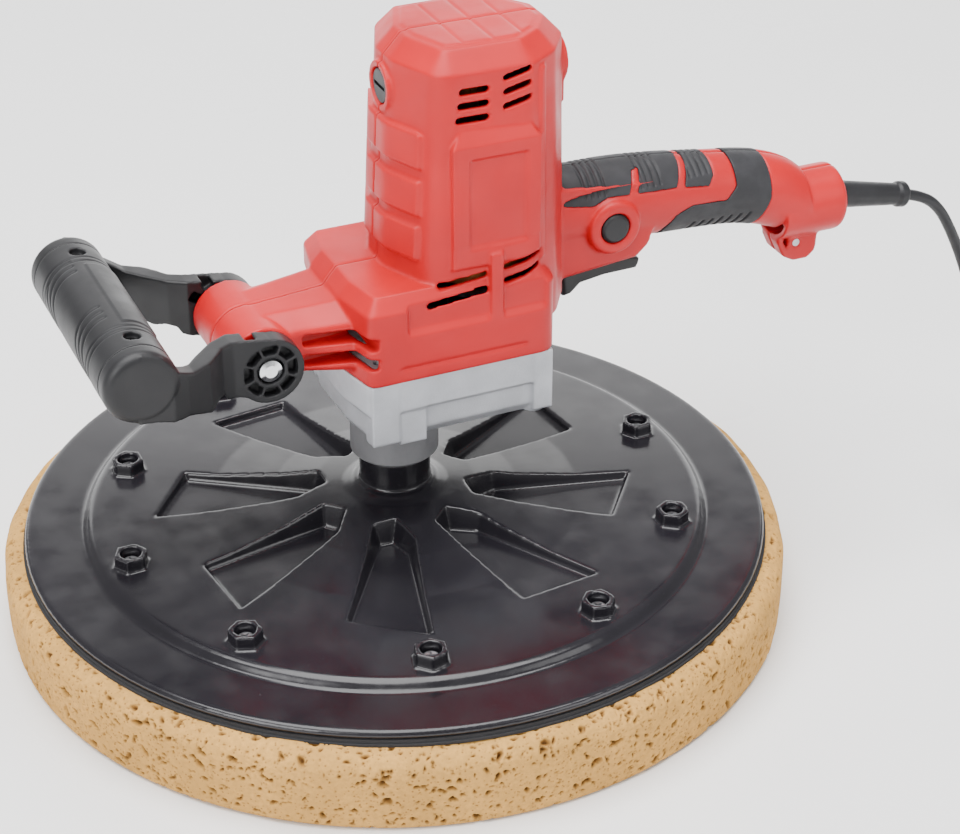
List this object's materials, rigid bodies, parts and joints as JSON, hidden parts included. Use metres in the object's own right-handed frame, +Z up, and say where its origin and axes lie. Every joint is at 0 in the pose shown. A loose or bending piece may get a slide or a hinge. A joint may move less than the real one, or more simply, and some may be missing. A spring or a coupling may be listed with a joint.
{
  "type": "grout float",
  "caption": "Powered grout float with a round sponge on a backing plate, an upright motor housing, a rubber-gripped rear handle with a trigger, and a tilting front handle.",
  "frame": {"origin": "on the spindle axis at the sponge's working face, which rests on the floor", "axes": "+Z up along the spindle axis, away from the work; +X towards the rear handle and the cord outlet; +Y across the tool, away from the side that carries the lock button"},
  "size_m": [0.5818, 0.4208, 0.2898],
  "materials": {
    "sponge": "open-cell tan sponge",
    "hook_cloth": "hook and loop cloth",
    "plate_plastic": "near-black moulded plastic with a soft sheen",
    "zinc_steel": "bright zinc plated steel",
    "blackened_steel": "blackened screws in deep holes",
    "machine_steel": "ground machine steel",
    "bronze": "sintered bronze",
    "cast_aluminium": "bead blasted die casting",
    "neck_metal": "dark grey painted casting",
    "lamination_steel": "stacked electrical steel",
    "copper": "enamelled copper wire and bars",
    "carbon": "pressed carbon",
    "red_casing": "red moulded nylon, fine texture",
    "soft_grip": "soft overmoulded rubber",
    "black_plastic": "black moulded nylon",
    "bolt_chrome": "polished plated steel",
    "cord_jacket": "black flexible cord jacket",
    "plug_metal": "nickel plated brass"
  },
  "bodies": {
    "root": {"spindle_bearing_lower": "machine_steel", "spindle_bearing_upper": "machine_steel", "idler_bearing": "machine_steel", "idler_bush": "bronze", "armature_bearing_lower": "machine_steel", "armature_bearing_upper": "machine_steel", "gearbox_case": "cast_aluminium", "bearing_plate": "cast_aluminium", "gearbox_screws": "zinc_steel", "spindle_neck": "neck_metal", "stator_core": "lamination_steel", "field_coils": "copper", "air_baffle": "plate_plastic", "brush_holders": "plate_plastic", "carbon_brushes": "carbon", "brush_springs": "zinc_steel", "brush_caps": "black_plastic", "grip_upper_left": "soft_grip", "grip_upper_right": "soft_grip", "grip_rear_left": "soft_grip", "grip_rear_right": "soft_grip", "housing_left": "red_casing", "housing_right": "red_casing", "housing_screws": "zinc_steel", "pivot_bolt": "bolt_chrome", "pivot_nut": "bolt_chrome", "trigger_pin": "zinc_steel", "trigger_spring": "zinc_steel", "switch_body": "plate_plastic", "cord_clamp": "plate_plastic", "clamp_screws": "zinc_steel", "strain_relief": "cord_jacket", "cord_run": "cord_jacket", "cord_coil": "cord_jacket", "cord_tie": "plate_plastic", "plug_body": "cord_jacket", "plug_pins": "plug_metal"},
    "disc": {"sponge_pad": "sponge", "loop_backing": "hook_cloth", "hook_pad": "hook_cloth", "backing_plate": "plate_plastic", "clamp_ring": "zinc_steel", "plate_screws": "zinc_steel", "hub_insert": "zinc_steel", "spindle": "machine_steel", "output_gear": "machine_steel"},
    "idler": {"idler_pinion": "machine_steel", "idler_gear": "machine_steel", "idler_shaft": "machine_steel"},
    "armature": {"armature_shaft": "machine_steel", "cooling_fan": "plate_plastic", "armature_core": "lamination_steel", "armature_windings": "copper", "commutator": "copper"},
    "front_handle": {"handle_arm_left": "black_plastic", "handle_arm_right": "black_plastic", "grip_tube": "black_plastic", "grip_screws": "blackened_steel"},
    "trigger_body": {"trigger": "black_plastic"},
    "lock_button_body": {"lock_button": "black_plastic"}
  },
  "joints": [
    {"name": "disc_spin", "type": "hinge", "parent": "root", "child": "disc", "pos_m": [0, 0, 0.09], "axis": [0, 0, 1], "continuous": true},
    {"name": "idler_spin", "type": "hinge", "parent": "root", "child": "idler", "pos_m": [0.02299, 0.01416, 0.12], "axis": [0, 0, 1], "continuous": true},
    {"name": "armature_spin", "type": "hinge", "parent": "root", "child": "armature", "pos_m": [0.0385, 0, 0.2], "axis": [0, 0, 1], "continuous": true},
    {"name": "front_handle_tilt", "type": "hinge", "parent": "root", "child": "front_handle", "pos_m": [-0.072, 0, 0.154], "axis": [0, 1, 0], "range_deg": [-45, 75]},
    {"name": "trigger_squeeze", "type": "hinge", "parent": "root", "child": "trigger_body", "pos_m": [0.088, 0, 0.1615], "axis": [0, -1, 0], "range_deg": [0, 7], "stiffness_Nm_per_rad": 0.4, "springref_deg": -5.73, "deforming": ["trigger_spring"]},
    {"name": "lock_button_press", "type": "slide", "parent": "root", "child": "lock_button_body", "axis": [0, 1, 0], "range_m": [0, 0.003], "stiffness_N_per_m": 300, "springref_m": -0.001}
  ],
  "couplings": [
    {"joint": "idler_spin", "follows": "disc_spin", "ratio": -4.4545},
    {"joint": "armature_spin", "follows": "disc_spin", "ratio": 23.893}
  ]
}
